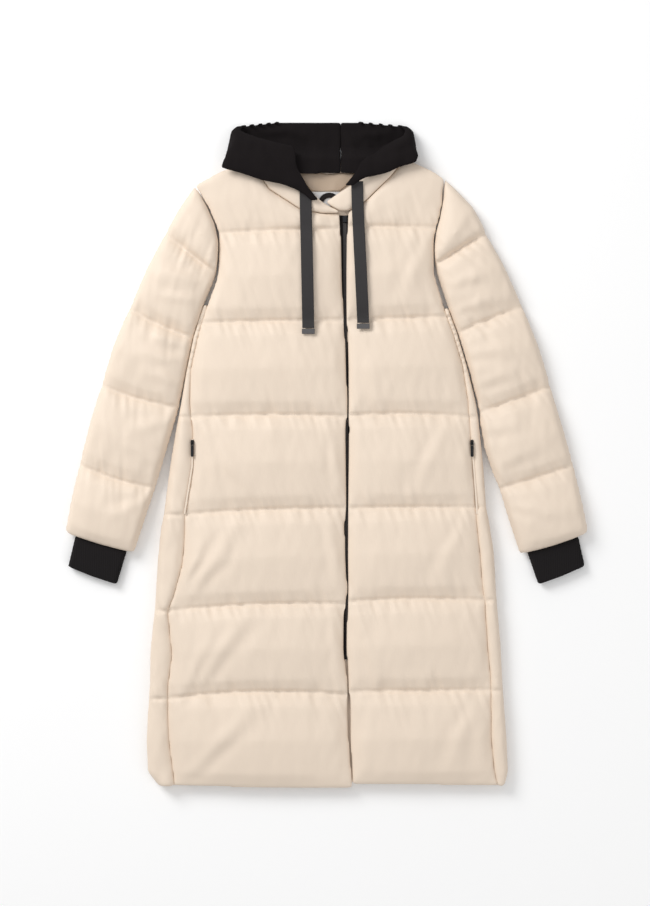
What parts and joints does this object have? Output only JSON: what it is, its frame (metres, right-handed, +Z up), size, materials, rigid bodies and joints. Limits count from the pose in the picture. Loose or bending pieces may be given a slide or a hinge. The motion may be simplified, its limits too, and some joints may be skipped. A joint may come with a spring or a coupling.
{
  "type": "quilted hooded coat",
  "caption": "Long padded coat with a jersey hood, zipped front, side pockets, storm cuffs and a ribbon drawstring, laid flat front up.",
  "frame": {"origin": "on the surface the coat lies on, under the middle of the coat's box without its drawstring", "axes": "+X towards the wearer's left sleeve, +Y towards the hood, +Z up through the front"},
  "size_m": [0.919, 1.1693, 0.046],
  "materials": {
    "shell_fabric": "beige nylon taffeta with a slight sheen",
    "hood_jersey": "black cotton jersey, matt",
    "rib_knit": "black rib knit, matt",
    "lining_satin": "taupe satin",
    "label_woven": "pale woven label, bare",
    "zip_tape": "black woven tape",
    "zip_coil": "black nylon coil",
    "black_metal": "black lacquered zinc",
    "drawstring_tape": "charcoal woven ribbon, bare",
    "drawstring_tip": "grey rubberised end"
  },
  "bodies": {
    "coat": {"back": "shell_fabric", "front_right": "shell_fabric", "front_left": "shell_fabric", "side_right": "shell_fabric", "side_left": "shell_fabric", "sleeve_right": "shell_fabric", "sleeve_left": "shell_fabric", "cuff_right": "rib_knit", "cuff_left": "rib_knit", "hood_right": "hood_jersey", "hood_left": "hood_jersey", "collar_right": "shell_fabric", "collar_left": "shell_fabric", "collar_back": "shell_fabric", "neck_lining": "lining_satin", "neck_label": "label_woven", "hanger_loop": "zip_tape", "zip_tape_right": "zip_tape", "zip_tape_left": "zip_tape", "zip_chain": "zip_coil", "zip_slider": "black_metal", "pocket_zip_right": "shell_fabric", "pocket_zip_left": "shell_fabric", "pocket_bail_right": "black_metal", "pocket_bail_left": "black_metal", "pocket_slider_right": "black_metal", "pocket_slider_left": "black_metal", "drawstring_right": "drawstring_tape", "drawstring_left": "drawstring_tape", "drawstring_tip_right": "drawstring_tip", "drawstring_tip_left": "drawstring_tip"},
    "pocket_pull_right": {"pocket_pull_right": "black_metal"},
    "pocket_pull_left": {"pocket_pull_left": "black_metal"}
  },
  "joints": [
    {"name": "pull_right_swing", "type": "hinge", "parent": "coat", "child": "pocket_pull_right", "pos_m": [-0.23501, 0.021, 0.0293], "axis": [-1, 0, 0], "range_deg": [0, 150]},
    {"name": "pull_left_swing", "type": "hinge", "parent": "coat", "child": "pocket_pull_left", "pos_m": [0.25484, 0.021, 0.0293], "axis": [-1, 0, 0], "range_deg": [0, 150]}
  ]
}
